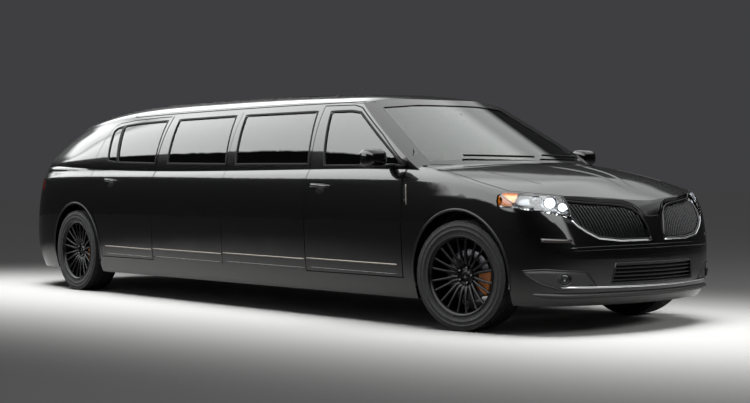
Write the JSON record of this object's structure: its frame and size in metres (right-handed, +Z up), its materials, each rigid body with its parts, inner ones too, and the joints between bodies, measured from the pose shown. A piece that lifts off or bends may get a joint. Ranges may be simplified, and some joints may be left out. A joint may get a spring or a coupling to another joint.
{
  "type": "stretch limousine",
  "caption": "Long black crossover limousine with hinged front and rear doors, fixed window panels between them, a lifting hood and liftgate, and steered front wheels.",
  "frame": {"origin": "on the ground below the middle of the vehicle", "axes": "+X forward, +Y to the vehicle's left, +Z up"},
  "size_m": [7.4844, 2.33, 1.7128],
  "materials": {
    "body_paint": "gloss",
    "floor_paint": "satin",
    "trim_black": "gloss",
    "cabin_plastic": "matte",
    "lamp_clear": "gloss",
    "lamp_red": "gloss",
    "screen_glass": "gloss",
    "dark_glass": "gloss",
    "wiper_rubber": "matte",
    "cast_metal": "rough",
    "steel": "satin",
    "seat_leather": "satin",
    "wheel_leather": "satin",
    "rim_black": "gloss",
    "tyre_rubber": "matte"
  },
  "bodies": {
    "body": {"front_bumper": "body_paint", "rear_bumper": "body_paint", "front_fenders": "body_paint", "body_sides": "body_paint", "stretch_panels": "body_paint", "roof_frame": "body_paint", "headlamps": "lamp_clear", "tail_lamps": "lamp_red", "grilles": "trim_black", "windscreen": "screen_glass", "fixed_side_windows": "dark_glass", "wipers": "wiper_rubber", "floor_pan": "floor_paint", "front_subframe": "cast_metal", "rear_suspension": "cast_metal", "engine": "cast_metal", "exhaust": "steel", "front_seats": "seat_leather", "lounge_seats": "seat_leather", "dashboard": "cabin_plastic", "steering_wheel": "wheel_leather"},
    "hood": {"hood": "body_paint"},
    "liftgate": {"liftgate": "body_paint", "liftgate_lamp": "lamp_red", "rear_window": "dark_glass"},
    "front_door_right": {"front_door_right": "body_paint", "front_door_glass_right": "dark_glass", "mirror_right": "body_paint"},
    "rear_door_right": {"rear_door_right": "body_paint", "rear_door_glass_right": "dark_glass"},
    "knuckle_right": {"knuckle_right": "cast_metal"},
    "front_wheel_right": {"front_rim_right": "rim_black", "front_tyre_right": "tyre_rubber"},
    "rear_wheel_right": {"rear_rim_right": "rim_black", "rear_tyre_right": "tyre_rubber"},
    "front_door_left": {"front_door_left": "body_paint", "front_door_glass_left": "dark_glass", "mirror_left": "body_paint"},
    "rear_door_left": {"rear_door_left": "body_paint", "rear_door_glass_left": "dark_glass"},
    "knuckle_left": {"knuckle_left": "cast_metal"},
    "front_wheel_left": {"front_rim_left": "rim_black", "front_tyre_left": "tyre_rubber"},
    "rear_wheel_left": {"rear_rim_left": "rim_black", "rear_tyre_left": "tyre_rubber"}
  },
  "joints": [
    {"name": "hood_hinge", "type": "hinge", "parent": "body", "child": "hood", "pos_m": [2.3615, 0, 1.135], "axis": [0, -1, 0], "range_deg": [0, 55]},
    {"name": "liftgate_hinge", "type": "hinge", "parent": "body", "child": "liftgate", "pos_m": [-2.8285, 0, 1.636], "axis": [0, 1, 0], "range_deg": [0, 80]},
    {"name": "front_door_right_hinge", "type": "hinge", "parent": "body", "child": "front_door_right", "pos_m": [2.2615, -0.965, 0.7], "axis": [0, 0, 1], "range_deg": [0, 65]},
    {"name": "rear_door_right_hinge", "type": "hinge", "parent": "body", "child": "rear_door_right", "pos_m": [-1.0385, -0.965, 0.7], "axis": [0, 0, 1], "range_deg": [0, 65]},
    {"name": "steering_right", "type": "hinge", "parent": "body", "child": "knuckle_right", "pos_m": [2.8115, -0.79, 0.369], "axis": [0, 0, 1], "range_deg": [-45.8, 24.2]},
    {"name": "front_wheel_right_spin", "type": "hinge", "parent": "knuckle_right", "child": "front_wheel_right", "pos_m": [2.819, -0.82929, 0.369], "axis": [-0.1874, 0.9823, 0], "continuous": true},
    {"name": "rear_wheel_right_spin", "type": "hinge", "parent": "body", "child": "rear_wheel_right", "pos_m": [-2.3935, -0.83, 0.369], "axis": [0, 1, 0], "continuous": true},
    {"name": "front_door_left_hinge", "type": "hinge", "parent": "body", "child": "front_door_left", "pos_m": [2.2615, 0.965, 0.7], "axis": [0, 0, -1], "range_deg": [0, 65]},
    {"name": "rear_door_left_hinge", "type": "hinge", "parent": "body", "child": "rear_door_left", "pos_m": [-1.0385, 0.965, 0.7], "axis": [0, 0, -1], "range_deg": [0, 65]},
    {"name": "steering_left", "type": "hinge", "parent": "body", "child": "knuckle_left", "pos_m": [2.8115, 0.79, 0.369], "axis": [0, 0, 1], "range_deg": [-45.8, 24.2]},
    {"name": "front_wheel_left_spin", "type": "hinge", "parent": "knuckle_left", "child": "front_wheel_left", "pos_m": [2.80401, 0.82929, 0.369], "axis": [-0.1874, 0.9823, 0], "continuous": true},
    {"name": "rear_wheel_left_spin", "type": "hinge", "parent": "body", "child": "rear_wheel_left", "pos_m": [-2.3935, 0.83, 0.369], "axis": [0, 1, 0], "continuous": true}
  ],
  "couplings": [
    {"joint": "steering_left", "follows": "steering_right", "ratio": 1}
  ]
}
